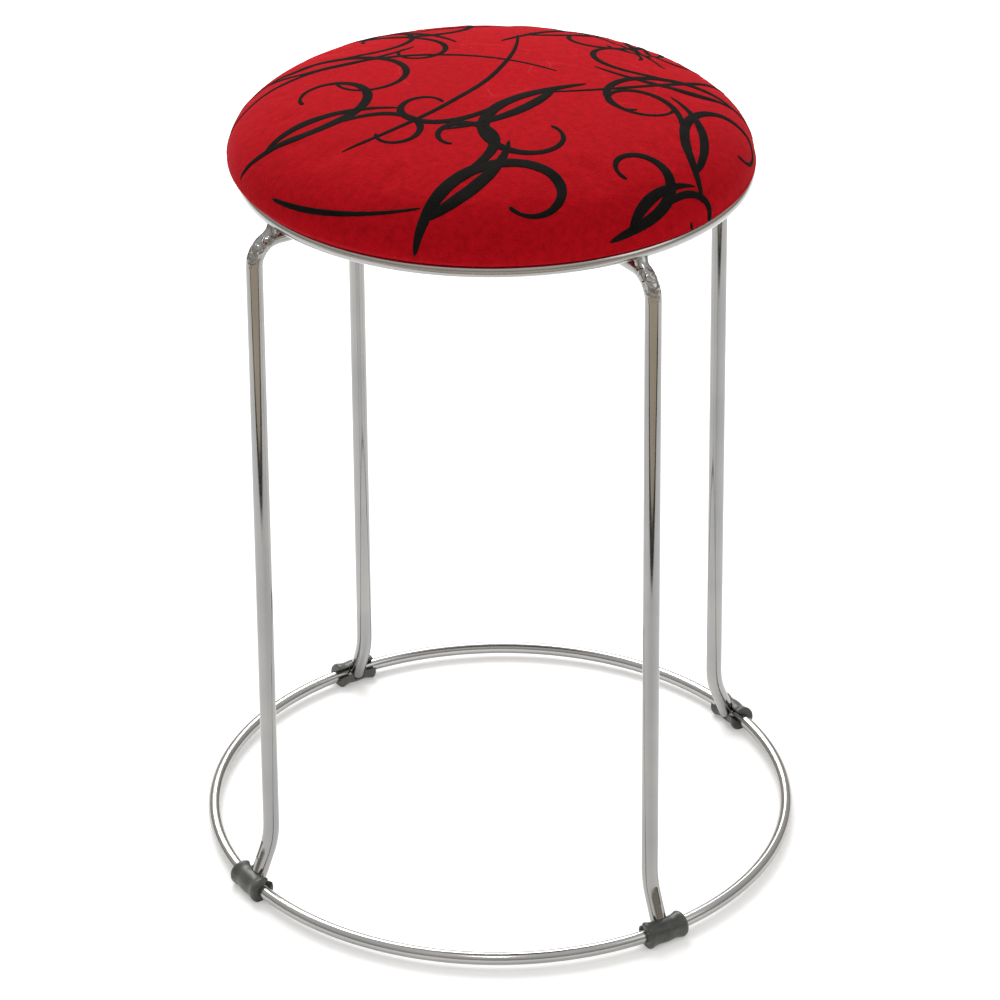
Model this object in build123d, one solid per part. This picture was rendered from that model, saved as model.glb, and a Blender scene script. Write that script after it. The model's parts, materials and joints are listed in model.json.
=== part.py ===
"""Round stacking stool: welded chrome frame, foot ring on four clip feet, domed velour seat.

Millimetres, +Z up.  The origin is on the floor, under the middle of the two rings.  One leg hoop
lies in the XZ plane and the other in the YZ plane, so a leg stands at 0, 90, 180 and 270 degrees.
Every separate piece of the stool is a node of its own, written to parts/NODE.step.
"""
from build123d import *
import os
from math import atan2, cos, degrees, hypot, radians, sin

# ---------------------------------------------------------------- driving dimensions: frame
SEAT_RING_HEIGHT = 400.0     # floor to the middle of the seat ring's rod
SEAT_RING_RADIUS = 133.7     # axis of the stool to the middle of the rod
FOOT_RING_RADIUS = 164.4
RING_ROD = 7.0               # solid rod of both rings
LEG_TUBE = 9.0               # outside of the hoop tube
LEG_WALL = 1.2
LEG_STAND_OFF = 12.9         # leg outside the seat ring, at the top corner
TOP_BEND = 14.0              # centreline radius where a hoop turns down
KICK_REACH = 13.8            # foot ring to the corner where the leg kicks outward
KICK_HEIGHT = 31.0
KICK_BEND = 45.0
LEG_END_INSET = 2.9          # end of the leg's axis, inside the foot ring
LEG_END_DROP = 0.8           # and below the middle of its rod
LEG_END_ROUND = 2.0          # spun, closed end of the tube
LEG_END_PLUG = 5.0           # depth of the metal that closes it
LEG_COUNT = 4

# pressed crossing of the two hoops
CROSS_FLAT_WIDTH = 11.0
CROSS_FLAT_HALF = 8.0        # half length of the flat
CROSS_BLEND = 9.0            # length of the change from round to flat
CROSS_GAP = 0.2              # between the two flats, where the spot weld is
CROSS_SPOT = 5.0             # spot weld

# pressed location mark on the outside of each leg, above the clip
MARK_LENGTH = 11.0
MARK_WIDTH = 2.4
MARK_DEPTH = 0.6
MARK_RISE = 19.0             # middle of the mark above the leg's end, along the leg

# welds
SEAT_WELD = 3.6              # radius of the lump outside the seat ring
SEAT_WELD_OUT = 3.0          # its middle, outside the rod's middle
SEAT_WELD_DROP = 3.6         # and below it
FOOT_WELD = 2.6
FOOT_WELD_SINK = 0.4         # middle of a foot weld inside the leg's side and the ring's side

# ---------------------------------------------------------------- driving dimensions: clip feet
CLIP_LENGTH = 24.0           # along the ring
CLIP_WALL = 3.0
CLIP_SOLE = 2.4              # under the rod, down to the floor
CLIP_COLLAR = 0.9            # how far the end collars stand proud at their crest
CLIP_COLLAR_END = 0.1        # and at the end face, where they round off
CLIP_COLLAR_LENGTH = 6.5
CLIP_BELLY = 0.3             # how far the middle of the waist stands proud
CLIP_MOUTH = 5.0             # width of the mouth that snaps over the rod
CLIP_MOUTH_TILT = 38.0       # mouth's direction above the inward level, degrees
CLIP_LEG_CLEARANCE = 0.25    # round the leg, in the notch
SOLE_RIB_PITCH = 3.0
SOLE_GROOVE = 1.2
SOLE_GROOVE_DEPTH = 0.5
SOLE_GROOVES = 7

# ---------------------------------------------------------------- driving dimensions: seat
SEAT_OVERHANG = 5.3          # widest radius of the covered cushion, beyond the ring's middle
SEAT_LIP = 3.0               # radius where the cushion tucks under, onto the ring
SEAT_ROLL = 21.0             # radius of the rolled edge
SEAT_SHOULDER = 60.0         # radius of the shoulder, between the roll and the crown
ROLL_SLOPE = 43.0            # slope where the roll meets the shoulder, degrees
CROWN_SLOPE = 10.0           # slope where the shoulder meets the crown, degrees
COVER = 1.0                  # velour on its backing
COVER_FIT = 0.2              # covered board inside the seat ring
COVER_HEM = 21.0             # hem stapled under the board
BOARD = 9.0                  # plywood
LINING = 0.5
LINING_INSET = 8.0           # edge of the lining, inside the wrapped board's edge

STAPLE_COUNT = 16
STAPLE_INSET = 15.0          # middle of a staple, inside the wrapped board's edge
STAPLE_CROWN = 10.0
STAPLE_WIRE = 1.2
STAPLE_FLAT = 0.6
STAPLE_LEG = 6.0

# fixings between the hoops and the board
SCREW = 5.0
SCREW_CLEARANCE = 0.4        # on the diameter
SCREW_RADIUS = 88.0          # from the stool's axis
SCREW_END = 1.0              # tip below the face of the tee nut
HEAD = 9.5
HEAD_HEIGHT = 2.8
HEAD_ROUND = 1.2
RECESS = 4.4                 # cross recess across
RECESS_WIDTH = 1.1
RECESS_DEPTH = 1.6
WASHER = 12.0
WASHER_UNDER = 1.6           # metal under the tube
WASHER_GRIP = 1.5            # how far the saddle rises round the tube
NUT_FLANGE = 17.0
NUT_FLANGE_THICK = 1.2
NUT_BARREL = 7.0
NUT_DEPTH = 7.0
NUT_PRONGS = 3
PRONG_RADIUS = 6.6
PRONG_WIDTH = 2.0
PRONG_THICK = 1.0
PRONG_LENGTH = 4.0

# ---------------------------------------------------------------- levels and radii that follow
rod = RING_ROD / 2
tube = LEG_TUBE / 2
bore = tube - LEG_WALL
foot_ring_z = CLIP_SOLE + rod
ring_top = SEAT_RING_HEIGHT + rod
run_z = SEAT_RING_HEIGHT - rod - tube         # hoop runs lie against the ring's underside
run_top = run_z + tube
run_bottom = run_z - tube
hem_z = run_top + LINING
board_z = hem_z + COVER
board_top = board_z + BOARD
wrap_radius = SEAT_RING_RADIUS - rod - COVER_FIT
board_radius = wrap_radius - COVER
seat_radius = SEAT_RING_RADIUS + SEAT_OVERHANG
staple_radius = wrap_radius - STAPLE_INSET
widest_z = ring_top + SEAT_LIP
nut_face = board_top + NUT_FLANGE_THICK
washer_z = run_bottom - WASHER_UNDER

top_corner = (SEAT_RING_RADIUS + LEG_STAND_OFF, run_z)
kick_corner = (FOOT_RING_RADIUS - KICK_REACH, KICK_HEIGHT)
leg_end = (FOOT_RING_RADIUS - LEG_END_INSET, foot_ring_z - LEG_END_DROP)
kick_length = hypot(leg_end[0] - kick_corner[0], leg_end[1] - kick_corner[1])
kick_dir = Vector((leg_end[0] - kick_corner[0]) / kick_length, 0,
                  (leg_end[1] - kick_corner[1]) / kick_length)
kick_out = Vector(-kick_dir.Z, 0, kick_dir.X)  # square to the kick, away from the stool's axis
leg_tip = Vector(leg_end[0], 0, leg_end[1])

os.makedirs("parts", exist_ok=True)
nodes = {}


def turned(shape, leg):
    """A shape made for the leg at 0 degrees, moved to leg number 0 to 3."""
    return Rot(0, 0, 360 / LEG_COUNT * leg) * shape


def upright(diameter, bottom, top):
    """A vertical cylinder at the screw position of the leg at 0 degrees."""
    return Pos(SCREW_RADIUS, 0, bottom) * Cylinder(
        diameter / 2, top - bottom, align=(Align.CENTER, Align.CENTER, Align.MIN))


def ring(radius, height):
    return Pos(0, 0, height) * Torus(radius, rod)


# ---------------------------------------------------------------- leg hoops
def half_hoop(radius, short):
    """Round bar from the crossing's blend down to a leg's end, stopped short of the end."""
    start = CROSS_FLAT_HALF + CROSS_BLEND
    stop = leg_tip - kick_dir * short
    line = FilletPolyline((start, 0, run_z), (top_corner[0], 0, top_corner[1]),
                          (kick_corner[0], 0, kick_corner[1]), (stop.X, 0, stop.Z),
                          radius=[TOP_BEND, KICK_BEND])
    profile = Plane((start, 0, run_z), z_dir=(1, 0, 0)) * Circle(radius)
    return sweep(profile, path=line)


def pressed_middle(radius, flat_width, flat_height, middle_z):
    """The crossing: round, blending to a flat slot section, and back to round."""
    outer = CROSS_FLAT_HALF + CROSS_BLEND
    slot_long = flat_width - flat_height

    def slot_at(x):
        plane = Plane((x, 0, middle_z), x_dir=(0, 1, 0), z_dir=(1, 0, 0))
        return plane * SlotCenterToCenter(slot_long, flat_height)

    def circle_at(x):
        plane = Plane((x, 0, run_z), x_dir=(0, 1, 0), z_dir=(1, 0, 0))
        return plane * Circle(radius)

    flat = loft([slot_at(-CROSS_FLAT_HALF), slot_at(CROSS_FLAT_HALF)], ruled=True)
    blend = loft([slot_at(CROSS_FLAT_HALF), circle_at(outer)])
    return flat + blend + mirror(blend, Plane.YZ)


def location_mark():
    """Tool that presses the long mark into the outside of a leg, above its clip."""
    middle = leg_tip - kick_dir * MARK_RISE + kick_out * tube
    straight = MARK_LENGTH - MARK_WIDTH
    plane = Plane(middle, x_dir=kick_dir, z_dir=kick_out)
    slot = plane * SlotCenterToCenter(straight, MARK_WIDTH)
    return extrude(slot, amount=MARK_DEPTH, both=True)


def leg_hoop(side):
    """One inverted U of tube.  side is +1 where its flat is above the other hoop's, -1 below."""
    flat_height = tube - CROSS_GAP / 2
    middle_z = run_z + side * (tube + CROSS_GAP / 2) / 2
    outside = half_hoop(tube, 0)
    inside = half_hoop(bore, LEG_END_PLUG)
    end_edge = outside.faces().sort_by(Axis.Z)[0].edges()
    outside = fillet(end_edge, LEG_END_ROUND)
    outside = outside - location_mark()
    middle = pressed_middle(tube, CROSS_FLAT_WIDTH, flat_height, middle_z)
    hollow = pressed_middle(bore, CROSS_FLAT_WIDTH - 2 * LEG_WALL, flat_height - 2 * LEG_WALL,
                            middle_z)
    half = outside - inside
    hoop = (middle - hollow) + half + mirror(half, Plane.YZ)
    holes = upright(SCREW + SCREW_CLEARANCE, run_bottom - tube, run_top + tube)
    return hoop - holes - mirror(holes, Plane.YZ)


foot_ring = ring(FOOT_RING_RADIUS, foot_ring_z)
seat_ring = ring(SEAT_RING_RADIUS, SEAT_RING_HEIGHT)
hoops = [leg_hoop(+1) - foot_ring, Rot(0, 0, 90) * (leg_hoop(-1) - foot_ring)]
nodes["foot_ring"] = foot_ring
nodes["seat_ring"] = seat_ring
nodes["leg_hoop_a"] = hoops[0]
nodes["leg_hoop_b"] = hoops[1]
solid_leg = half_hoop(tube, 0)


# ---------------------------------------------------------------- welds
def seat_weld():
    """Lump that fills the corner between the ring's outside and the top of a hoop's bend."""
    lump = Pos(SEAT_RING_RADIUS + SEAT_WELD_OUT, 0, SEAT_RING_HEIGHT - SEAT_WELD_DROP)
    return lump * Sphere(SEAT_WELD) - seat_ring - solid_leg


def foot_welds():
    """Beads in the corners between both sides of a leg's end and the foot ring's inside."""
    place = Pos(FOOT_RING_RADIUS - rod + FOOT_WELD_SINK, FOOT_WELD_SINK - tube, foot_ring_z)
    bead = place * Sphere(FOOT_WELD) - foot_ring - solid_leg
    return [bead, mirror(bead, Plane.XZ)]


seat_welds = []
foot_beads = []
for leg in range(LEG_COUNT):
    seat_welds += [turned(solid, leg) for solid in seat_weld().solids()]
    for bead in foot_welds():
        foot_beads += [turned(solid, leg) for solid in bead.solids()]
nodes["seat_ring_welds"] = Compound(children=seat_welds)
nodes["foot_ring_welds"] = Compound(children=foot_beads)
nodes["crossing_weld"] = Pos(0, 0, run_z) * Cylinder(CROSS_SPOT / 2, CROSS_GAP)


# ---------------------------------------------------------------- clip feet
def clip_body():
    """Sleeve along the ring, narrow in the middle, with a fuller rounded collar at each end."""
    half = CLIP_LENGTH / 2
    crest = half - CLIP_COLLAR_LENGTH / 3
    waist = half - CLIP_COLLAR_LENGTH
    stations = [(half, CLIP_COLLAR_END), (crest, CLIP_COLLAR), (waist, 0)]
    mirrored = [(-along, proud) for along, proud in stations]
    stations = mirrored + [(0, CLIP_BELLY)] + stations[::-1]
    sections = []
    for along, proud in stations:
        section = Plane.XZ * Pos(FOOT_RING_RADIUS, foot_ring_z) * Circle(rod + CLIP_WALL + proud)
        sections.append(Rot(0, 0, degrees(along / FOOT_RING_RADIUS)) * section)
    return loft(sections)


def foot_clip():
    """Snap-on clip foot under a leg's end, mouth up and inward, over the rod and the leg."""
    reach = 2 * CLIP_LENGTH
    below = Pos(FOOT_RING_RADIUS, 0, 0) * Box(
        reach, reach, reach, align=(Align.CENTER, Align.CENTER, Align.MAX))
    mouth_section = Plane.XZ * Pos(FOOT_RING_RADIUS, foot_ring_z) * Rot(0, 0, -CLIP_MOUTH_TILT)
    mouth_section *= Rectangle(CLIP_LENGTH, CLIP_MOUTH, align=(Align.MAX, Align.CENTER))
    mouth_angle = degrees(reach / FOOT_RING_RADIUS)
    mouth = Rot(0, 0, -mouth_angle / 2) * revolve(mouth_section, Axis.Z, mouth_angle)
    notch_plane = Plane(leg_tip + kick_dir * CLIP_LEG_CLEARANCE, z_dir=-kick_dir)
    notch = notch_plane * Cylinder(tube + CLIP_LEG_CLEARANCE, reach,
                                   align=(Align.CENTER, Align.CENTER, Align.MIN))
    clip = clip_body() - below - mouth - notch - foot_ring
    for number in range(SOLE_GROOVES):
        along = (number - (SOLE_GROOVES - 1) / 2) * SOLE_RIB_PITCH
        groove = Box(reach, SOLE_GROOVE, 2 * SOLE_GROOVE_DEPTH)
        clip -= Rot(0, 0, degrees(along / FOOT_RING_RADIUS)) * Pos(FOOT_RING_RADIUS, 0, 0) * groove
    return clip


clip = foot_clip()
welds = nodes["foot_ring_welds"]
for leg in range(LEG_COUNT):
    nodes[f"foot_clip_{leg + 1}"] = turned(clip, leg) - welds


# ---------------------------------------------------------------- seat
def dome(inset):
    """Seat profile from the middle out to the widest radius, moved inward by inset."""
    roll_mid = Vector(seat_radius - SEAT_ROLL, widest_z)
    roll_way = Vector(sin(radians(ROLL_SLOPE)), cos(radians(ROLL_SLOPE)))
    crown_way = Vector(sin(radians(CROWN_SLOPE)), cos(radians(CROWN_SLOPE)))
    shoulder_mid = roll_mid - roll_way * (SEAT_SHOULDER - SEAT_ROLL)
    crown_radius = SEAT_SHOULDER + shoulder_mid.X / crown_way.X
    crown_mid = shoulder_mid - crown_way * (crown_radius - SEAT_SHOULDER)
    arcs = [CenterArc(crown_mid, crown_radius - inset, 90 - CROWN_SLOPE, CROWN_SLOPE),
            CenterArc(shoulder_mid, SEAT_SHOULDER - inset, 90 - ROLL_SLOPE,
                      ROLL_SLOPE - CROWN_SLOPE),
            CenterArc(roll_mid, SEAT_ROLL - inset, 0, 90 - ROLL_SLOPE)]
    return arcs, crown_mid.Y + crown_radius - inset


def lip(inset):
    """Tuck under the widest radius, down to the ring's top."""
    return CenterArc((seat_radius - SEAT_LIP, widest_z), SEAT_LIP - inset, 0, -90)


def lathe(edges):
    """Solid of revolution about Z from the edges of a closed half section."""
    return revolve(Plane.XZ * make_face(edges), Axis.Z, 360)


outer_arcs, crown = dome(0)
inner_arcs, foam_crown = dome(COVER)
lip_x = seat_radius - SEAT_LIP
hem_radius = wrap_radius - COVER_HEM
tuck = Polyline((lip_x, ring_top), (wrap_radius, ring_top), (wrap_radius, hem_z),
                (hem_radius, hem_z), (hem_radius, board_z), (board_radius, board_z),
                (board_radius, ring_top + COVER), (lip_x, ring_top + COVER))
top_edge = Line((0, foam_crown), (0, crown))
cover = lathe(outer_arcs + [lip(0)] + tuck.edges() + [lip(COVER)] + inner_arcs + [top_edge])
foam_under = Polyline((lip_x, ring_top + COVER), (board_radius, ring_top + COVER),
                      (board_radius, board_top), (0, board_top), (0, foam_crown))
foam = lathe(inner_arcs + [lip(COVER)] + foam_under.edges())
board = Pos(0, 0, board_z) * Cylinder(board_radius, BOARD,
                                      align=(Align.CENTER, Align.CENTER, Align.MIN))
lining = Pos(0, 0, run_top) * Cylinder(wrap_radius - LINING_INSET, LINING,
                                       align=(Align.CENTER, Align.CENTER, Align.MIN))


def staple():
    """Staple at 0 degrees: flat crown under the lining, legs up into the board."""
    crown_bar = Box(STAPLE_WIRE, STAPLE_CROWN, STAPLE_FLAT,
                    align=(Align.CENTER, Align.CENTER, Align.MAX))
    shape = Pos(staple_radius, 0, run_top) * crown_bar
    for side in (-1, 1):
        leg_y = side * (STAPLE_CROWN - STAPLE_FLAT) / 2
        shape += Pos(staple_radius, leg_y, run_top) * Box(
            STAPLE_WIRE, STAPLE_FLAT, STAPLE_LEG, align=(Align.CENTER, Align.CENTER, Align.MIN))
    return shape


staples = []
for number in range(STAPLE_COUNT):
    turn = 360 / STAPLE_COUNT * (number + 0.5)
    staples.append(Rot(0, 0, turn) * staple())


# ---------------------------------------------------------------- fixings
def tee_nut():
    """Pronged tee nut pressed into the top of the board."""
    nut = upright(NUT_FLANGE, board_top, nut_face) + upright(NUT_BARREL, board_top - NUT_DEPTH,
                                                            board_top)
    for number in range(NUT_PRONGS):
        prong = Pos(PRONG_RADIUS, 0, 0) * Box(
            PRONG_THICK, PRONG_WIDTH, PRONG_LENGTH, align=(Align.CENTER, Align.CENTER, Align.MAX))
        nut += Pos(SCREW_RADIUS, 0, board_top) * Rot(0, 0, 360 / NUT_PRONGS * number) * prong
    return nut - upright(SCREW, board_z, nut_face)


def seat_screw():
    """Pan head screw with a cross recess, up through a hoop into its tee nut."""
    head = upright(HEAD, washer_z - HEAD_HEIGHT, washer_z)
    head = fillet(head.edges().filter_by(GeomType.CIRCLE).sort_by(Axis.Z)[0], HEAD_ROUND)
    recess = Box(RECESS, RECESS_WIDTH, 2 * RECESS_DEPTH) + Box(RECESS_WIDTH, RECESS,
                                                              2 * RECESS_DEPTH)
    head -= Pos(SCREW_RADIUS, 0, washer_z - HEAD_HEIGHT) * recess
    return head + upright(SCREW, washer_z, nut_face - SCREW_END)


def saddle_washer():
    """Washer whose upper face is hollowed to sit on the underside of the tube."""
    washer = upright(WASHER, washer_z, run_bottom + WASHER_GRIP)
    return washer - solid_leg - upright(SCREW + SCREW_CLEARANCE, washer_z, run_top)


for leg in range(LEG_COUNT):
    nut = turned(tee_nut(), leg)
    filled_nut = nut + turned(upright(SCREW, board_top - NUT_DEPTH, nut_face), leg)
    screw_hole = turned(upright(SCREW + SCREW_CLEARANCE, run_top, board_top), leg)
    board = board - filled_nut - screw_hole
    foam = foam - filled_nut
    lining = lining - screw_hole
    nodes[f"tee_nut_{leg + 1}"] = nut
    nodes[f"seat_screw_{leg + 1}"] = turned(seat_screw(), leg)
    nodes[f"saddle_washer_{leg + 1}"] = turned(saddle_washer(), leg)

for piece in staples:
    board -= piece
    lining -= piece
    cover -= piece

nodes["seat_cover"] = cover
nodes["seat_foam"] = foam
nodes["seat_board"] = board
nodes["underside_lining"] = lining
nodes["cover_staples"] = Compound(children=staples)

for name, shape in nodes.items():
    solids = shape.solids()
    whole = solids[0] if len(solids) == 1 else Compound(children=solids)
    export_step(whole, f"parts/{name}.step")
print(f"{len(nodes)} nodes, crown at {crown:.1f}, kick {degrees(atan2(kick_dir.X, -kick_dir.Z)):.1f}")
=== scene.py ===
"""Round stacking stool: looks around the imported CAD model.  Metres, same frame as the CAD."""
import json
from math import atan2, cos, pi, radians, sin, sqrt

import bmesh
import bpy
import numpy as np
from mathutils import Matrix, Vector
from mathutils.bvhtree import BVHTree


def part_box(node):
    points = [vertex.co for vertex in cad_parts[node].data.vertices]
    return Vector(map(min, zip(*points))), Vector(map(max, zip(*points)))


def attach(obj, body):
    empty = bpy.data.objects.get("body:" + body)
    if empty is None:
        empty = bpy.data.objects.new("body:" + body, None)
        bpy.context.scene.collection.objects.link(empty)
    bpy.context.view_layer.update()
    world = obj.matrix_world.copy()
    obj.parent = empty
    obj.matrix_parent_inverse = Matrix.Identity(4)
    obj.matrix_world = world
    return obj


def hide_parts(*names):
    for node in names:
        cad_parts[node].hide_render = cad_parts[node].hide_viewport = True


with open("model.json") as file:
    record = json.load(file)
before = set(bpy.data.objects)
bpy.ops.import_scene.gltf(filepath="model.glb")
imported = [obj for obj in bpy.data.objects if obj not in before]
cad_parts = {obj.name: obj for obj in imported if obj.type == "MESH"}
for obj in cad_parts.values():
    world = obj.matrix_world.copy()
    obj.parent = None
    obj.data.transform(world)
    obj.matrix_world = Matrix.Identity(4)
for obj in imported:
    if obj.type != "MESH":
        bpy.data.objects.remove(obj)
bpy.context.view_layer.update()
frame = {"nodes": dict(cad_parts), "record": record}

MM = 0.001
BODY = "root"
scene = bpy.context.scene

# ------------------------------------------------------------------ levels read from the frame
ring_low, ring_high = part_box("seat_ring")
cover_low, cover_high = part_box("seat_cover")
lining_low, lining_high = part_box("underside_lining")
ROD = (ring_high.z - ring_low.z) / 2
RING_R = ring_high.x - ROD
RING_Z = ring_low.z + ROD
SEAT_R = cover_high.x
HEM_Z = cover_low.z
TUBE = 4.5 * MM                        # outside radius of a hoop's tube
BEND = 14.0 * MM                       # centreline radius of its top bend
BEND_Z = RING_Z - ROD - TUBE - BEND    # where that bend ends
LINING_R = lining_high.x

# ------------------------------------------------------------------ camera
CAMERA_AZIMUTH = radians(-32.55)   # 0 looks along +Y
CAMERA_HEIGHT = radians(28.44)
CAMERA_DISTANCE = 2.1188
CAMERA_ROLL = radians(-0.45)
CAMERA_AIM = (0.0010, -0.0007, 0.1980)
LENS = 138.0
SENSOR = 36.0


def make_camera():
    back = Vector((sin(CAMERA_AZIMUTH) * cos(CAMERA_HEIGHT),
                   -cos(CAMERA_AZIMUTH) * cos(CAMERA_HEIGHT), sin(CAMERA_HEIGHT)))
    right = Vector((cos(CAMERA_AZIMUTH), sin(CAMERA_AZIMUTH), 0))
    up = back.cross(right)
    rolled_right = right * cos(CAMERA_ROLL) + up * sin(CAMERA_ROLL)
    rolled_up = up * cos(CAMERA_ROLL) - right * sin(CAMERA_ROLL)
    place = Vector(CAMERA_AIM) + back * CAMERA_DISTANCE
    data = bpy.data.cameras.new("camera")
    data.lens = LENS
    data.sensor_width = SENSOR
    data.clip_end = 50
    camera = bpy.data.objects.new("camera", data)
    scene.collection.objects.link(camera)
    camera.matrix_world = Matrix(((rolled_right.x, rolled_up.x, back.x, place.x),
                                  (rolled_right.y, rolled_up.y, back.y, place.y),
                                  (rolled_right.z, rolled_up.z, back.z, place.z),
                                  (0, 0, 0, 1)))
    scene.camera = camera


make_camera()


def from_view(right, back, up=0.0):
    """A point given as right and away from the camera's side, turned into the frame."""
    return Vector((right * cos(CAMERA_AZIMUTH) - back * sin(CAMERA_AZIMUTH),
                   right * sin(CAMERA_AZIMUTH) + back * cos(CAMERA_AZIMUTH), up))


# ------------------------------------------------------------------ node helpers
class Nodes:
    """Short calls for building one material's node tree."""

    def __init__(self, name):
        self.material = bpy.data.materials.new(name)
        self.material.use_nodes = True
        self.tree = self.material.node_tree
        self.shader = self.tree.nodes["Principled BSDF"]

    def add(self, kind, **settings):
        node = self.tree.nodes.new(kind)
        for name, value in settings.items():
            setattr(node, name, value)
        return node

    def put(self, value, socket):
        """Links an output, or sets a plain value."""
        if isinstance(value, bpy.types.NodeSocket):
            self.tree.links.new(value, socket)
        else:
            socket.default_value = value

    def place(self):
        return self.add("ShaderNodeTexCoord").outputs["Object"]

    def scaled(self, vector, scale):
        node = self.add("ShaderNodeMapping")
        self.put(vector, node.inputs["Vector"])
        node.inputs["Scale"].default_value = scale
        return node.outputs["Vector"]

    def noise(self, vector, scale, detail=2.0, rough=0.5, warp=0.0):
        node = self.add("ShaderNodeTexNoise")
        self.put(vector, node.inputs["Vector"])
        node.inputs["Scale"].default_value = scale
        node.inputs["Detail"].default_value = detail
        node.inputs["Roughness"].default_value = rough
        node.inputs["Distortion"].default_value = warp
        return node.outputs["Fac"]

    def cells(self, vector, scale, spread=1.0):
        node = self.add("ShaderNodeTexVoronoi")
        self.put(vector, node.inputs["Vector"])
        node.inputs["Scale"].default_value = scale
        node.inputs["Randomness"].default_value = spread
        return node.outputs["Distance"]

    def math(self, operation, first, second=0.0, clamp=False):
        node = self.add("ShaderNodeMath", operation=operation, use_clamp=clamp)
        self.put(first, node.inputs[0])
        self.put(second, node.inputs[1])
        return node.outputs[0]

    def span(self, value, low, high, to_low=0.0, to_high=1.0):
        node = self.add("ShaderNodeMapRange")
        self.put(value, node.inputs["Value"])
        for name, number in (("From Min", low), ("From Max", high),
                             ("To Min", to_low), ("To Max", to_high)):
            node.inputs[name].default_value = number
        return node.outputs["Result"]

    def mix(self, amount, first, second, blend="MIX"):
        node = self.add("ShaderNodeMix", data_type="RGBA", blend_type=blend)
        self.put(amount, node.inputs["Factor"])
        for value, socket in ((first, node.inputs[6]), (second, node.inputs[7])):
            self.put((*value, 1.0) if isinstance(value, tuple) else value, socket)
        return node.outputs[2]

    def bump(self, height, distance, strength=1.0, under=None):
        node = self.add("ShaderNodeBump")
        node.inputs["Strength"].default_value = strength
        node.inputs["Distance"].default_value = distance
        self.put(height, node.inputs["Height"])
        if under is not None:
            self.put(under, node.inputs["Normal"])
        return node.outputs["Normal"]

    def set(self, **inputs):
        for name, value in inputs.items():
            self.put(value, self.shader.inputs[name.replace("_", " ")])


# ------------------------------------------------------------------ materials
CREASE_FADE = 6 * MM     # distance over which the creases of a bend fade in

# Linear colours.  A pair is a material's dull and bright tone.
PLATING = ((0.302, 0.302, 0.304), (0.355, 0.351, 0.342))
ZINC = ((0.52, 0.52, 0.50), (0.66, 0.65, 0.60))
VELOUR = ((0.39, 0.0026, 0.0075), (0.46, 0.0036, 0.010))
VELOUR_SHADE = (0.30, 0.002, 0.005)      # pile that leans away
VELOUR_TIP = (0.52, 0.008, 0.014)        # single bright fibres
VELOUR_PRESSED = (0.55, 0.04, 0.045)
FLOCK = ((0.003, 0.003, 0.0028), (0.007, 0.0067, 0.0062))
FLOCK_TIP = (0.020, 0.0195, 0.018)
PLASTIC = ((0.034, 0.037, 0.032), (0.078, 0.083, 0.073))
PLASTIC_SCUFF = (0.18, 0.19, 0.165)
PLY = ((0.55, 0.38, 0.22), (0.38, 0.24, 0.13))
PLY_GLUE = (0.30, 0.19, 0.10)
LINING = ((0.012, 0.012, 0.013), (0.045, 0.045, 0.047))
FOAM = ((0.55, 0.47, 0.28), (0.82, 0.76, 0.55))
FLOOR_WHITE = ((0.86, 0.86, 0.86), (0.88, 0.88, 0.88))
DARK_TONES = ((0.012, 0.012, 0.014), (0.03, 0.028, 0.026))
WARM_TONES = ((0.70, 0.60, 0.45), (0.84, 0.73, 0.56))
SKY = ((0.0, (0.38, 0.34, 0.28)), (0.25, (0.60, 0.56, 0.48)), (0.75, (1.0, 1.0, 1.0)))
WHITE = (1.0, 1.0, 1.0, 1.0)


def chrome(name="bright_chrome", ripple=0.00001, crumple=0.0, satin=0.0, light=0.0):
    """Plated steel.  ripple is the depth of the unevenness under the plating, crumple the depth
    of the creases where the tube was bent, satin its extra roughness and light its extra tone,
    which is painted reflection: it lightens the plating's colour for parts that reflect more sky."""
    n = Nodes(name)
    place = n.place()
    cloudy = n.noise(place, 22, 3)
    fine = n.noise(place, 420, 2)
    polish = n.noise(n.scaled(place, (900, 900, 60)), 1.0, 2)
    # light lifts both tones: painted reflection of the brighter sky
    dull, bright = (tuple(tone + light for tone in tones) for tones in PLATING)
    n.set(Metallic=1.0, Base_Color=n.mix(n.span(cloudy, 0.35, 0.7), dull, bright))
    specks = n.span(n.cells(place, 160), 0.0, 0.08, 1.0, 0.0)
    rough = n.math("ADD", n.span(cloudy, 0.3, 0.75, 0.07 + satin, 0.13 + satin),
                   n.span(fine, 0.3, 0.8, 0, 0.03))
    n.set(Roughness=n.math("ADD", rough, n.math("MULTIPLY", specks, 0.12)))
    relief = n.bump(n.math("ADD", polish, n.math("MULTIPLY", specks, -0.6)), ripple, 0.5)
    if crumple:
        split = n.add("ShaderNodeSeparateXYZ")
        n.put(place, split.inputs[0])
        flat = n.add("ShaderNodeVectorMath", operation="LENGTH")
        n.put(n.scaled(place, (1, 1, 0)), flat.inputs[0])
        high = n.span(split.outputs["Z"], BEND_Z, BEND_Z + CREASE_FADE)
        outside = n.span(flat.outputs["Value"], RING_R + 1 * MM, RING_R + CREASE_FADE)
        creases = n.math("SUBTRACT", n.noise(place, 260, 1, 0.5, 0.6), 0.5)
        depth = n.math("MULTIPLY", creases, n.math("MULTIPLY", high, outside))
        relief = n.bump(depth, crumple, 1.0, relief)
    n.set(Normal=relief)
    return n.material


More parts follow.
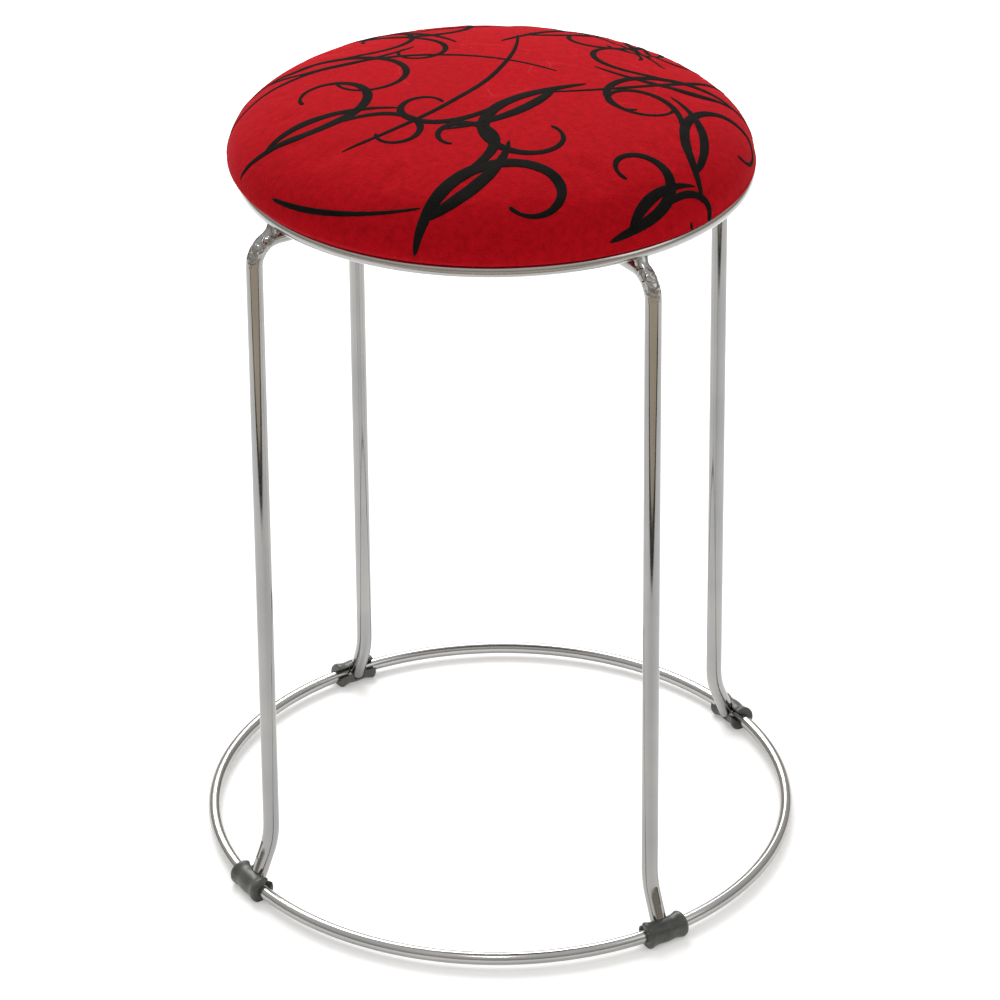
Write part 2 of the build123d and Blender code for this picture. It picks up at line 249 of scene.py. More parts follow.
def velour():
    n = Nodes("red_velour")
    place = n.place()
    nap = n.noise(place, 9, 3, 0.55, 0.6)
    mottle = n.noise(place, 260, 3, 0.6)
    pile = n.noise(place, 1500, 2, 0.6)
    weave = n.cells(place, 1300)
    base = n.mix(n.span(nap, 0.3, 0.7), *VELOUR)
    base = n.mix(n.span(mottle, 0.3, 0.72), base, VELOUR_SHADE)
    base = n.mix(n.span(pile, 0.45, 0.75, 0.0, 0.5), base, VELOUR_TIP)
    marks = 0.0
    for right, back, radius in PRESSED_RINGS:
        centre = from_view(right, back)
        shift = n.add("ShaderNodeVectorMath", operation="SUBTRACT")
        n.put(place, shift.inputs[0])
        shift.inputs[1].default_value = (centre.x, centre.y, 0)
        flat = n.scaled(shift.outputs[0], (1, 1, 0))
        length = n.add("ShaderNodeVectorMath", operation="LENGTH")
        n.put(flat, length.inputs[0])
        off = n.math("ABSOLUTE", n.math("SUBTRACT", length.outputs["Value"], radius))
        line = n.span(off, 0.0002, 0.0009, 1.0, 0.0)
        broken = n.span(n.noise(place, 70, 2), 0.48, 0.62)
        marks = n.math("ADD", marks, n.math("MULTIPLY", line, broken), True)
    base = n.mix(n.math("MULTIPLY", marks, 0.3), base, VELOUR_PRESSED)
    n.set(Base_Color=base, Sheen_Weight=0.2, Sheen_Roughness=0.35,
          Sheen_Tint=(1.0, 0.13, 0.18, 1.0), Specular_IOR_Level=0.03)
    n.set(Roughness=n.span(pile, 0.2, 0.8, 0.8, 1.0))
    fibre = n.math("ADD", pile, n.math("MULTIPLY", weave, 0.7))
    low = n.bump(n.math("ADD", mottle, n.math("MULTIPLY", marks, -0.5)), 0.00025, 0.5)
    n.set(Normal=n.bump(fibre, 0.00022, 0.8, low))
    return n.material


def flock():
    n = Nodes("black_flock")
    place = n.place()
    pile = n.noise(place, 1700, 2, 0.6)
    patch = n.noise(place, 60, 3)
    base = n.mix(n.span(patch, 0.3, 0.7), *FLOCK)
    base = n.mix(n.span(pile, 0.45, 0.8, 0.0, 0.6), base, FLOCK_TIP)
    n.set(Base_Color=base, Roughness=n.span(pile, 0.2, 0.8, 0.75, 1.0), Sheen_Weight=0.015,
          Sheen_Roughness=0.5, Sheen_Tint=(0.8, 0.75, 0.7, 1.0), Specular_IOR_Level=0.03)
    n.set(Normal=n.bump(pile, 0.0002, 0.9))
    return n.material


def clip_plastic():
    n = Nodes("clip_plastic")
    place = n.place()
    grain = n.noise(place, 900, 3, 0.6)
    cloud = n.noise(place, 60, 3)
    scuff = n.span(n.noise(n.scaled(place, (300, 300, 1400)), 1.0, 4, 0.65), 0.6, 0.75)
    base = n.mix(n.span(cloud, 0.35, 0.65), *PLASTIC)
    base = n.mix(n.math("MULTIPLY", scuff, 0.5), base, PLASTIC_SCUFF)
    n.set(Base_Color=base, Specular_IOR_Level=0.4)
    n.set(Roughness=n.math("ADD", n.span(grain, 0.3, 0.7, 0.30, 0.42),
                           n.math("MULTIPLY", scuff, 0.15)))
    n.set(Normal=n.bump(grain, 0.00006, 0.5))
    return n.material


def plywood():
    n = Nodes("plywood")
    place = n.place()
    grain = n.noise(n.scaled(place, (14, 160, 160)), 1.0, 5, 0.6, 0.4)
    plies = n.add("ShaderNodeTexWave", wave_type="BANDS", bands_direction="Z")
    n.put(place, plies.inputs["Vector"])
    plies.inputs["Scale"].default_value = 100
    base = n.mix(n.span(grain, 0.3, 0.7), *PLY)
    base = n.mix(n.math("MULTIPLY", plies.outputs["Fac"], 0.4), base, PLY_GLUE)
    n.set(Base_Color=base, Roughness=n.span(grain, 0.3, 0.7, 0.6, 0.75))
    n.set(Normal=n.bump(grain, 0.0001, 0.4))
    return n.material


def nonwoven():
    n = Nodes("nonwoven_lining")
    place = n.place()
    threads = n.noise(n.scaled(place, (700, 250, 400)), 1.0, 4, 0.7, 1.5)
    dots = n.cells(place, 520, spread=0.15)
    base = n.mix(n.span(threads, 0.35, 0.7), *LINING)
    n.set(Base_Color=base, Roughness=n.span(threads, 0.3, 0.7, 0.75, 0.95))
    n.set(Normal=n.bump(n.math("ADD", threads, n.span(dots, 0.0, 0.5)), 0.0001, 0.6))
    return n.material


def zinc():
    n = Nodes("zinc_plate")
    place = n.place()
    crystal = n.cells(place, 700)
    cloud = n.noise(place, 180, 3)
    n.set(Metallic=1.0, Base_Color=n.mix(n.span(cloud, 0.3, 0.7), *ZINC))
    n.set(Roughness=n.span(cloud, 0.3, 0.7, 0.28, 0.42))
    n.set(Normal=n.bump(crystal, 0.00003, 0.5))
    return n.material


def foam():
    n = Nodes("foam")
    place = n.place()
    pores = n.cells(place, 900)
    n.set(Base_Color=n.mix(n.span(pores, 0.1, 0.6), *FOAM))
    n.set(Roughness=n.span(pores, 0.1, 0.6, 0.85, 1.0), Normal=n.bump(pores, 0.0003, 0.7))
    return n.material


# circles pressed into the pile: right, back, radius, metres
PRESSED_RINGS = ((0.030, -0.004, 0.034), (0.052, 0.012, 0.034), (-0.010, 0.020, 0.040))

looks = {"velour": velour(), "foam": foam(), "plywood": plywood(), "lining": nonwoven(),
         "chrome": chrome(), "clip_plastic": clip_plastic(), "fixings": zinc()}
black_flock = flock()
weld_chrome = chrome("weld_chrome", 0.00012)
hoop_chrome = chrome("hoop_chrome", crumple=0.0016, satin=-0.02)
# the rings' plating is lightened with painted reflection of the sky their tops face
painted_bright_ring_chrome = chrome("painted_bright_ring_chrome", satin=0.07, light=0.09)


def finish_node(name, look):
    """Gives a carried-over CAD node its material and smooth shading."""
    node = frame["nodes"][name]
    node.data.materials.clear()
    node.data.materials.append(look)
    for face in node.data.polygons:
        face.use_smooth = True
    return node


for row in frame["record"]["subparts"]:
    finish_node(row["node"], looks[row["material_slot"]])
for name in ("leg_hoop_a", "leg_hoop_b"):
    finish_node(name, hoop_chrome)
for name in ("seat_ring", "foot_ring"):
    finish_node(name, painted_bright_ring_chrome)


# ------------------------------------------------------------------ mesh helpers
def add_piece(name, vertices, faces, look):
    mesh = bpy.data.meshes.new(name)
    mesh.from_pydata([tuple(v) for v in vertices], [], faces)
    mesh.validate()
    piece = bpy.data.objects.new(name, mesh)
    scene.collection.objects.link(piece)
    mesh.materials.append(look)
    for face in mesh.polygons:
        face.use_smooth = True
    tidy = bmesh.new()
    tidy.from_mesh(mesh)
    bmesh.ops.recalc_face_normals(tidy, faces=tidy.faces)
    tidy.to_mesh(mesh)
    tidy.free()
    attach(piece, BODY)
    return piece


# ------------------------------------------------------------------ seat profile
LIP = 3.0 * MM
ROLL = 21.0 * MM
SHOULDER = 60.0 * MM
ROLL_SLOPE = radians(43)
CROWN_SLOPE = radians(10)
WIDEST_Z = ring_high.z + LIP


def profile_arcs():
    """Centre, radius, first and last slope angle of each arc from the crown to the lip."""
    roll_mid = Vector((SEAT_R - ROLL, WIDEST_Z))
    shoulder_mid = roll_mid - Vector((sin(ROLL_SLOPE), cos(ROLL_SLOPE))) * (SHOULDER - ROLL)
    crown_radius = SHOULDER + shoulder_mid.x / sin(CROWN_SLOPE)
    crown_mid = shoulder_mid - Vector((sin(CROWN_SLOPE), cos(CROWN_SLOPE))) * (
        crown_radius - SHOULDER)
    lip_mid = Vector((SEAT_R - LIP, WIDEST_Z))
    return [(crown_mid, crown_radius, 0.0, CROWN_SLOPE),
            (shoulder_mid, SHOULDER, CROWN_SLOPE, ROLL_SLOPE),
            (roll_mid, ROLL, ROLL_SLOPE, pi / 2),
            (lip_mid, LIP, pi / 2, pi)]


ARCS = profile_arcs()
OVER_LENGTH = sum(radius * (last - first) for _, radius, first, last in ARCS)


def on_profile(along):
    """Radius and height at a distance from the crown, measured over the cloth."""
    for centre, radius, first, last in ARCS:
        length = radius * (last - first)
        if along <= length or (centre, radius) == ARCS[-1][:2]:
            angle = first + min(along, length) / radius
            return centre.x + radius * sin(angle), centre.y + radius * cos(angle)
        along -= length


def on_cover(along, turn):
    radius, height = on_profile(along)
    return Vector((radius * cos(turn), radius * sin(turn), height))


# ------------------------------------------------------------------ cushion
ROUND = 240                  # points round the cushion
FLAT_ROWS = 60               # rows over its crown and shoulder
EDGE_ROWS = 22               # and round its rolled edge and lip
WRAP_R = RING_R - ROD - 0.2 * MM       # wrapped edge of the board, inside the ring
LIP_REST = 3.2 * MM          # how far in from the lip the cover lies on the ring
# The cover inside the ring: distance outside the wrapped edge, and height.
TUCK = ((1.2 * MM, ring_high.z), (0.3 * MM, ring_high.z - 0.4 * MM), (0, ring_high.z - 1.4 * MM),
        (0, RING_Z - 1.5 * MM), (-0.1 * MM, HEM_Z + 1.2 * MM), (-0.9 * MM, HEM_Z + 0.15 * MM))
HEM_WIDTH = 21 * MM
HEM_CORNER = 3 * MM          # where the hem starts to lie flat, inside the wrapped edge
HEM_STEPS = 8
HEM_THICK = 1.0 * MM
CUT_ROWS = 2                 # rows at the hem's cut edge, which lies against the board
PLEATS = 46
PLEAT_DEPTH = 0.8 * MM
CLOTH_FRAMES = 20
CLOTH_STIFFNESS = 30
CLOTH_BENDING = 4
CLOTH_MASS = 0.3
CLOTH_PRESSURE = 4
CLOTH_QUALITY = 6
PUFF_CAP = 1.2 * MM          # furthest that a point may move in the simulation
HELD_ROWS = 6                # rows of the cover above its lip that stay put
LEAN_RIGHT = -2.1 * MM       # how far the cushion sits off the middle, to the camera's right
LEAN_SLOPE = -0.011          # and how much it rises that way
FADE = 10 * MM               # height over which the foam's lumps fade out above the lip
LUMPS = ((0.35 * MM, 45 * MM, 1.0), (0.12 * MM, 17 * MM, 2.3))     # height, size, seed


def clamped(value):
    """The value, held between 0 and 1."""
    return max(0.0, min(1.0, value))


def uneven(x, y, scale, seed):
    """Smooth, repeatable unevenness between -1 and 1."""
    total = 0.0
    for k, (ax, ay) in enumerate(((1.0, 0.3), (-0.6, 0.9), (0.35, -1.1), (0.9, 0.8))):
        total += sin((ax * x + ay * y) / scale * (1 + 0.37 * k) + seed * (1.7 + k))
    return total / 4


def cover_rows():
    """Distances over the cloth, closer together round the rolled edge."""
    flat = OVER_LENGTH - ROLL * (pi / 2 - ROLL_SLOPE) - LIP * pi / 2
    rows = [flat * (k / FLAT_ROWS) for k in range(1, FLAT_ROWS)]
    edge = OVER_LENGTH - flat
    rows += [flat + edge * k / EDGE_ROWS for k in range(EDGE_ROWS + 1)]
    return rows


def build_cushion():
    vertices = [on_cover(0, 0)]
    faces = []
    rows = []
    for along in cover_rows():
        rows.append([on_cover(along, 2 * pi * k / ROUND) for k in range(ROUND)])
    top_rows = len(rows)
    inner = WRAP_R - HEM_WIDTH
    corner = WRAP_R - HEM_CORNER
    under = [(SEAT_R - LIP - LIP_REST, ring_high.z)]
    under += [(WRAP_R + out, height) for out, height in TUCK]
    under += [(corner - (corner - inner) * k / HEM_STEPS, HEM_Z) for k in range(HEM_STEPS + 1)]
    under += [(inner - HEM_THICK / 10, HEM_Z + HEM_THICK / 2), (inner, HEM_Z + HEM_THICK)]
    for number, (radius, height) in enumerate(under):
        fold = clamped((WRAP_R - radius) / HEM_WIDTH) * PLEAT_DEPTH
        ring_row = []
        for k in range(ROUND):
            turn = 2 * pi * k / ROUND
            drift = 0.35 * sin(turn * 7) + 0.2 * sin(turn * 11 + 1)    # pleats aren't even
            wave = 0.5 + 0.5 * sin(PLEATS * turn + 3 * drift)
            drop = fold * wave if number < len(under) - CUT_ROWS else 0.0
            ring_row.append(Vector((radius * cos(turn), radius * sin(turn), height + drop)))
        rows.append(ring_row)
    for row in rows:
        vertices += row
    for k in range(ROUND):
        faces.append((0, 1 + k, 1 + (k + 1) % ROUND))
    for r in range(len(rows) - 1):
        start, after = 1 + r * ROUND, 1 + (r + 1) * ROUND
        for k in range(ROUND):
            j = (k + 1) % ROUND
            faces.append((start + k, after + k, after + j, start + j))
    # the hidden top of the board closes the form
    last = 1 + (len(rows) - 1) * ROUND
    centre = len(vertices)
    vertices.append(Vector((0, 0, HEM_Z + HEM_THICK)))
    for k in range(ROUND):
        faces.append((last + k, centre, last + (k + 1) % ROUND))
    piece = add_piece("cushion", vertices, faces, looks["velour"])
    held = piece.vertex_groups.new(name="held")
    held.add(list(range(1 + (top_rows - HELD_ROWS) * ROUND, len(vertices))), 1.0, "REPLACE")
    return piece


def puff(piece):
    """Blows the cover up against its held edge, so that it has the swell of stretched cloth."""
    before = [v.co.copy() for v in piece.data.vertices]
    cloth = piece.modifiers.new("cloth", "CLOTH")
    settings = cloth.settings
    settings.quality = CLOTH_QUALITY
    settings.mass = CLOTH_MASS
    settings.tension_stiffness = CLOTH_STIFFNESS
    settings.compression_stiffness = CLOTH_STIFFNESS
    settings.bending_stiffness = CLOTH_BENDING
    settings.use_pressure = True
    settings.uniform_pressure_force = CLOTH_PRESSURE
    settings.vertex_group_mass = "held"
    settings.effector_weights.gravity = 0
    cloth.point_cache.frame_start = 1
    cloth.point_cache.frame_end = CLOTH_FRAMES
    for number in range(1, CLOTH_FRAMES + 1):
        scene.frame_set(number)
    shaped = piece.evaluated_get(bpy.context.evaluated_depsgraph_get())
    after = [v.co.copy() for v in shaped.data.vertices]
    piece.modifiers.remove(cloth)
    scene.frame_set(1)
    for vertex, old, new in zip(piece.data.vertices, before, after):
        move = new - old
        if move.length > PUFF_CAP:
            move = move.normalized() * PUFF_CAP
        vertex.co = old + move


def settle(piece):
    """Slight unevenness of the foam, and the small lean of a cushion fitted by hand."""
    lean = from_view(LEAN_RIGHT, 0)
    right = from_view(1, 0)
    for vertex in piece.data.vertices:
        x, y, z = vertex.co
        over = clamped((z - ring_high.z) / LIP)
        high = clamped((z - WIDEST_Z + LIP / 2) / FADE)
        lump = sum(height * uneven(x, y, size, seed) for height, size, seed in LUMPS)
        tilt = LEAN_SLOPE * (x * right.x + y * right.y)
        vertex.co.z += lump * high + tilt * over
        vertex.co.x += lean.x * over
        vertex.co.y += lean.y * over


cushion = build_cushion()
puff(cushion)
settle(cushion)
smoother = cushion.modifiers.new("finer", "SUBSURF")
smoother.levels = 1
smoother.render_levels = 1
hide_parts("seat_cover", "seat_foam")

# ------------------------------------------------------------------ flocked scrollwork
# Sprigs: right and back over the cloth from the crown in mm, heading, size, hand, weight.
SPRIGS = (
    (-142, 30, 26, 1.45, -1, 0.72), (-96, 112, -42, 1.25, 1, 0.72), (4, 66, 48, 1.35, -1, 0.66),
    (74, 136, -72, 1.10, -1, 0.70), (150, 8, 158, 1.40, 1, 0.80), (-138, -52, 4, 1.30, 1, 0.95),
    (48, 2, -152, 1.35, 1, 1.10), (112, -92, 112, 1.30, -1, 0.90), (-44, -146, 66, 1.30, -1, 1.30),
    (62, -136, 40, 0.95, 1, 1.05))
# Sweeps: right and back in mm, heading, length in mm, turn, width in mm.
SWEEPS = (
    (-112, 98, -8, 205, 46, 3.2), (-30, 148, -20, 165, -42, 3.0), (-152, -6, 50, 205, -86, 3.6),
    (140, 66, -122, 150, -50, 3.6), (-78, -70, 26, 185, 66, 3.4), (-118, -84, -52, 92, 54, 3.2))
STEP = 1.2            # mm between sections
TIP = 1.5             # width of a stroke's thin end, mm
# Length and width at size and weight 1, both in mm, degrees turned, quickening, ball at the end.
STEM = (120, 6.6, 300, 2.3, 1.6)
SIDE = (74, 4.8, 300, 2.0, 1.2)
LEAF = (60, 6.4, 60, 1.1, 0.0)
FORK = 0.34           # where the side scroll leaves a stem, as a share of the stem's length
FORK_TURN = -8        # its heading from the stem's there, degrees
LEAF_ROOT = 0.12      # and where the leaf does
LEAF_TURN = 40
BALL = 4              # length of a stroke's rounded end, mm
BLUNT = 3.0           # length over which a ribbon's ends round off, mm
END_SHARE = 0.35      # and the width they keep, as a share
RAGGED = 0.10         # unevenness of a ribbon's edge, mm
ACROSS = (-1.0, -0.86, -0.45, 0.0, 0.45, 0.86, 1.0)    # a ribbon's section, share of half width
LIFTS = (0.0, 0.75, 1.0, 1.0, 1.0, 0.75, 0.0)          # and its height, share of the lift
ROOT = 0.8            # half width of the ribbon's hidden underside
FLOCK_LIFT = 0.22 * MM
FLOCK_SINK = 0.35 * MM    # underside, below the cloth
EDGE_SINK = 0.05 * MM     # and the edges
FLOCK_EDGE = 1.2      # mm of cloth left bare above the ring
CLEAR_OF_RING = 0.2 * MM


def scroll(start, heading, length, turn, tighten, width, ball=0.0):
    """Line of (right, back, width): a tapered stroke that turns faster towards its end."""
    count = max(8, int(length / STEP))
    t = np.linspace(0, 1, count)
    angle = np.radians(heading + turn * t ** tighten)
    step = length / (count - 1)
    right = start[0] + np.concatenate([[0], np.cumsum(np.cos(angle[:-1]) * step)])
    back = start[1] + np.concatenate([[0], np.cumsum(np.sin(angle[:-1]) * step)])
    swell = np.abs(np.sin(pi * t ** 0.7)) ** 0.9
    end = ball * np.exp(-((1 - t) * length / BALL) ** 2)
    return np.stack([right, back, TIP + (width - TIP) * swell + end], 1)


def branch(form, start, heading, size, hand, weight):
    length, width, turn, tighten, ball = form
    return scroll(start, heading, length * size, hand * turn, tighten, width * weight, ball)


def sprig(right, back, heading, size, hand, weight):
    """A stem that curls up, a smaller scroll that curls the other way, and a leaf."""
    stem = branch(STEM, (right, back), heading, size, hand, weight)
    fork = stem[int(len(stem) * FORK)]
    there = heading + hand * (STEM[2] * FORK ** STEM[3] + FORK_TURN)
    side = branch(SIDE, fork[:2], there, size, -hand, weight)
    root = stem[int(len(stem) * LEAF_ROOT)]
    leaf = branch(LEAF, root[:2], heading + hand * LEAF_TURN, size, -hand, weight)
    return [stem, side, leaf]


def all_strokes():
    """Every stroke, cut where it runs off the cushion's edge."""
    lines = []
    for row in SPRIGS:
        lines += sprig(*row)
    for right, back, heading, length, turn, width in SWEEPS:
        lines.append(scroll((right, back), heading, length, turn, 1.0, width))
    limit = OVER_LENGTH / MM - FLOCK_EDGE
    pieces = []
    for line in lines:
        run = []
        for point in line:
            if sqrt(point[0] ** 2 + point[1] ** 2) < limit:
                run.append(point)
            elif run:
                pieces.append(run)
                run = []
        pieces.append(run)
    return [np.array(run) for run in pieces if len(run) > 4]


def stroke_mesh(line, seed):
    """Closed raised ribbon over the cloth along one stroke, with a slightly ragged edge."""
    way = np.gradient(line[:, :2], axis=0)
    way /= np.linalg.norm(way, axis=1)[:, None] + 1e-9
    side = np.stack([-way[:, 1], way[:, 0]], 1)
    count = len(line)
    vertices = []
    for k in range(count):
        end = min(k, count - 1 - k) * STEP
        rounding = END_SHARE + (1 - END_SHARE) * sqrt(min(1.0, end / BLUNT))
        width = line[k, 2] / 2 * rounding
        width += RAGGED * uneven(line[k, 0], line[k, 1], 1.3, seed)
        for share, lift in zip(ACROSS, LIFTS):
            p = line[k, :2] + side[k] * width * share
            vertices.append((p, lift * FLOCK_LIFT if abs(share) < 1 else -EDGE_SINK))
        vertices.append((line[k, :2] + side[k] * width * ROOT, -FLOCK_SINK))
        vertices.append((line[k, :2] - side[k] * width * ROOT, -FLOCK_SINK))
    size = len(ACROSS) + 2
    faces = []
    for k in range(count - 1):
        for j in range(size):
            i = (j + 1) % size
            faces.append((k * size + j, k * size + i, (k + 1) * size + i, (k + 1) * size + j))
    faces.append(tuple(range(size))[::-1])
    faces.append(tuple((count - 1) * size + j for j in range(size)))
    return vertices, faces


def build_flock(cloth):
    graph = bpy.context.evaluated_depsgraph_get()
    shown = cloth.evaluated_get(graph)
    tree = BVHTree.FromPolygons([v.co for v in shown.data.vertices],
                                [tuple(p.vertices) for p in shown.data.polygons])
    everything = []
    faces = []
    for number, stroke in enumerate(all_strokes()):
        flat, ribbons = stroke_mesh(stroke, number)
        base = len(everything)
        for (right, back), lift in flat:
            along = sqrt(right * right + back * back) * MM
            turn = atan2(back, right) + CAMERA_AZIMUTH
            along = min(along, OVER_LENGTH - CLEAR_OF_RING)
            point = on_cover(along, turn)
            near, normal, _, _ = tree.find_nearest(point)
            everything.append(near + normal * lift)
        faces += [tuple(base + i for i in face) for face in ribbons]
    return add_piece("flock_scrollwork", everything, faces, black_flock)


build_flock(cushion)

# ------------------------------------------------------------------ welds under the seat ring
BEND_START = RING_R - 0.95 * MM    # where a hoop starts to turn down
RUN_Z = RING_Z - ROD - TUBE
SINK = 0.15 * MM                   # how far a weld's edges lie inside the metal
LEGS = 4
NECK_AROUND = 40
NECK_DOWN = 10
NECK_TOP = (-56, 40)       # on the rod, degrees up from its outside: middle and half spread
NECK_HALF = 4.3 * MM       # half width there, along the ring
NECK_FOOT = (14, 16)       # on the bend, degrees into it: middle and half spread
NECK_WRAP = 58             # half spread round the tube, degrees
NECK_WAIST = 0.22          # how far the sides are drawn in, as a share
NECK_SWELL = 0.16 * MM     # unevenness of the weld metal


def on_ring(angle, across):
    """Point on the seat ring's rod: angle up from its outside, distance along the ring."""
    reach = RING_R + (ROD - SINK) * cos(angle)
    turn = across / RING_R
    return Vector((reach * cos(turn), reach * sin(turn), RING_Z + (ROD - SINK) * sin(angle)))


def on_bend(along, around):
    """Point on a hoop's bend: angle into the bend, angle round the tube from its outside."""
    out = Vector((sin(along), 0, cos(along)))
    middle = Vector((BEND_START, 0, RUN_Z - BEND)) + out * BEND
    return middle + (out * cos(around) + Vector((0, 1, 0)) * sin(around)) * (TUBE - SINK)


def tube_faces(around, down):
    """Faces of a tube of points with both ends closed."""
    faces = [tuple(range(around)), tuple(down * around + k for k in range(around))]
    for j in range(down):
        for k in range(around):
            i = (k + 1) % around
            faces.append((j * around + k, j * around + i, (j + 1) * around + i,
                          (j + 1) * around + k))
    return faces


def weld_neck(leg):
    """Hollow-sided neck of weld metal from the ring's underside to the top of a hoop's bend."""
    touch = Vector((RING_R, 0, RING_Z - ROD))
    turn = Matrix.Rotation(2 * pi * leg / LEGS, 3, "Z")
    vertices = []
    for j in range(NECK_DOWN + 1):
        t = j / NECK_DOWN
        for k in range(NECK_AROUND):
            a = 2 * pi * k / NECK_AROUND
            first = on_ring(radians(NECK_TOP[0] + NECK_TOP[1] * cos(a)), NECK_HALF * sin(a))
            last = on_bend(radians(NECK_FOOT[0] + NECK_FOOT[1] * cos(a)),
                           radians(NECK_WRAP * sin(a)))
            waist = (first + last) / 2
            waist += (touch - waist) * NECK_WAIST
            point = first * (1 - t) ** 2 + waist * 2 * t * (1 - t) + last * t ** 2
            swell = NECK_SWELL * sin(pi * t) * uneven(a * 2.2, t * 5 + leg, 1.0, leg + 3.0)
            vertices.append(turn @ (point + (point - touch).normalized() * swell))
    return vertices, tube_faces(NECK_AROUND, NECK_DOWN)


def build_necks():
    everything = []
    faces = []
    for leg in range(LEGS):
        vertices, around = weld_neck(leg)
        faces += [tuple(len(everything) + i for i in face) for face in around]
        everything += vertices
    necks = add_piece("ring_weld_necks", everything, faces, weld_chrome)
    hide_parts("seat_ring_welds")


build_necks()
finish_node("foot_ring_welds", weld_chrome)

# ------------------------------------------------------------------ lining under the seat
LINING_SAG = 0.7 * MM
LINING_THICK = lining_high.z - lining_low.z
LINING_AROUND = 192
LINING_OUT = 34
CLEAR_OF_HOOP = 9 * MM     # the lining lies flat this near to a hoop
HANG_START = 22 * MM       # and hangs freely this much further from it
HANG_MIDDLE = 0.45         # shares of the sag: in the middle, between the staples, all over
HANG_PUCKER = 0.5
HANG_UNEVEN = 0.18
PUCKERS = 16               # one between each two staples


def build_lining():
    """Lining stapled under the board: it hangs a little between the hoops and the staples."""
    around, out = LINING_AROUND, LINING_OUT
    grid = [[(0.0, 0.0)] * around]
    for r in range(1, out + 1):
        reach = LINING_R * r / out
        grid.append([(reach * cos(2 * pi * k / around), reach * sin(2 * pi * k / around))
                     for k in range(around)])
    vertices = []
    for level in (0.0, LINING_THICK):
        vertices.append(Vector((0, 0, lining_low.z + level)))
        for row in grid[1:]:
            for x, y in row:
                free = clamped((min(abs(x), abs(y)) - CLEAR_OF_HOOP) / HANG_START)
                edge = sqrt(x * x + y * y) / LINING_R
                pucker = 0.5 + 0.5 * cos(PUCKERS * atan2(y, x))
                hang = HANG_MIDDLE * (1 - edge ** 2) + HANG_PUCKER * pucker * edge ** 6
                hang += HANG_UNEVEN * (1 + uneven(x, y, 20 * MM, 4.0))
                vertices.append(Vector((x, y, lining_low.z + level - LINING_SAG * hang * free)))
    half = 1 + out * around
    faces = []
    for base in (0, half):
        for k in range(around):
            i = (k + 1) % around
            faces.append((base, base + 1 + k, base + 1 + i))
            for r in range(out - 1):
                near, far = base + 1 + r * around, base + 1 + (r + 1) * around
                faces.append((near + k, far + k, far + i, near + i))
    rim = 1 + (out - 1) * around
    for k in range(around):
        i = (k + 1) % around
        faces.append((rim + k, rim + i, half + rim + i, half + rim + k))
    lining = add_piece("lining_cloth", vertices, faces, looks["lining"])
    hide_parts("underside_lining")


build_lining()

# ------------------------------------------------------------------ floor and light
FLOOR_REACH = 12.0     # half side of the plain floor
FLOOR_GLOW = 0.25      # its own light, which thins the shadows
WORLD_STRENGTH = 0.82
CARD_SIDE = 3.0        # half width of the cards that the chrome reflects
CARD_LIFT = 0.001      # cards above the floor
DARK_CARD = (-0.62, -0.52)    # near and far edge, away from the camera
WARM_CARD = (-4.0, -0.62)


def add_stage(name, corners, look):
    mesh = bpy.data.meshes.new(name)
    mesh.from_pydata([tuple(c) for c in corners], [], [tuple(range(len(corners)))])
    mesh.materials.append(look)
    stage = bpy.data.objects.new(name, mesh)
    scene.collection.objects.link(stage)
    return stage


def add_card(name, edges, tones):
    """Reflector card on the floor in front of the stool: only glossy reflections show it."""
    n = Nodes(name)
    cloud = n.noise(n.place(), 3, 3)
    n.set(Base_Color=n.mix(n.span(cloud, 0.3, 0.7), *tones), Roughness=0.7)
    near, far = edges
    card = add_stage(name, [from_view(x, y, CARD_LIFT) for x, y in (
        (-CARD_SIDE, near), (CARD_SIDE, near), (CARD_SIDE, far), (-CARD_SIDE, far))], n.material)
    card.visible_camera = False
    card.visible_diffuse = False
    card.visible_shadow = False
    card.visible_transmission = False


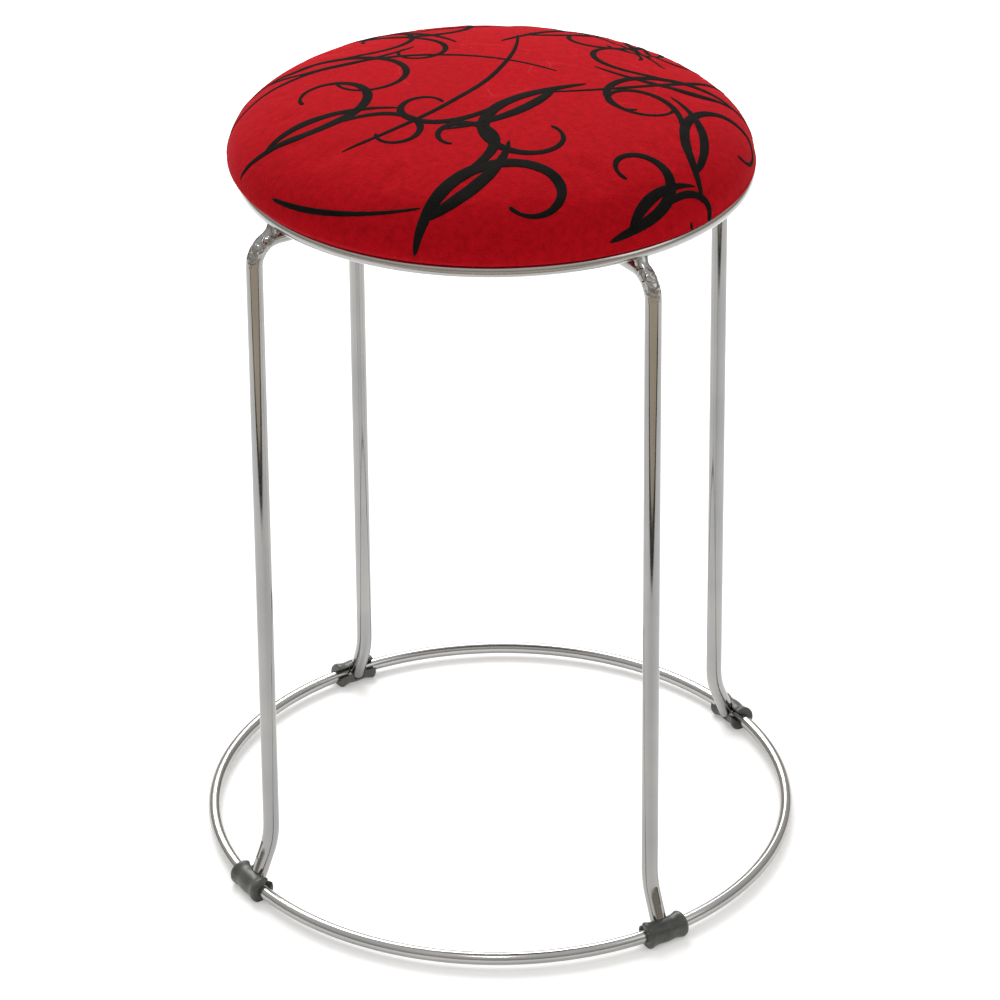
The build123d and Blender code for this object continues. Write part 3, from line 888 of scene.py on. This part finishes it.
def make_floor():
    """Evenly lit plain white floor."""
    n = Nodes("floor")
    grain = n.noise(n.place(), 60, 3)
    n.set(Base_Color=n.mix(n.span(grain, 0.3, 0.7), *FLOOR_WHITE),
          Roughness=0.8, Specular_IOR_Level=0.1, Emission_Color=WHITE,
          Emission_Strength=FLOOR_GLOW)
    reach = FLOOR_REACH
    add_stage("floor", [(-reach, -reach, 0), (reach, -reach, 0), (reach, reach, 0),
                        (-reach, reach, 0)], n.material)


def make_world():
    world = bpy.data.worlds.new("studio")
    world.use_nodes = True
    scene.world = world
    tree = world.node_tree
    ground = tree.nodes["Background"]
    where = tree.nodes.new("ShaderNodeTexCoord")
    split = tree.nodes.new("ShaderNodeSeparateXYZ")
    ramp = tree.nodes.new("ShaderNodeValToRGB")
    tree.links.new(where.outputs["Generated"], split.inputs[0])
    tree.links.new(split.outputs["Z"], ramp.inputs["Fac"])
    tree.links.new(ramp.outputs["Color"], ground.inputs["Color"])
    stops = ramp.color_ramp.elements
    stops.remove(stops[1])
    for number, (height, tone) in enumerate(SKY):
        stop = stops.new(height) if number else stops[0]
        stop.position = height
        stop.color = (*tone, 1)
    ground.inputs["Strength"].default_value = WORLD_STRENGTH


def add_softbox(name, place, aim, size, power):
    """Rectangular soft light: size in metres, power in watts."""
    data = bpy.data.lights.new(name, "AREA")
    data.shape = "RECTANGLE"
    data.size, data.size_y = size
    data.energy = power
    light = bpy.data.objects.new(name, data)
    scene.collection.objects.link(light)
    light.location = place
    way = Vector(aim) - Vector(place)
    light.rotation_euler = way.to_track_quat("-Z", "Y").to_euler()
    return light


make_floor()
add_card("dark_card", DARK_CARD, DARK_TONES)
add_card("warm_card", WARM_CARD, WARM_TONES)
make_world()
# the key lights the crown from behind, and the fill softens the front
add_softbox("key", from_view(-0.4, 1.7, 1.85), (0, 0, 0.3), (1.8, 1.3), 54)
add_softbox("fill", from_view(1.6, -0.6, 1.6), (0, 0, 0.2), (1.0, 1.0), 3)
# glints on the chrome only
sparkle = add_softbox("sparkle", from_view(-0.1, -1.1, 2.1), (0, 0, 0.35), (0.3, 0.3), 4)
sparkle.visible_diffuse = False

scene.view_settings.view_transform = "Standard"
scene.view_settings.look = "None"
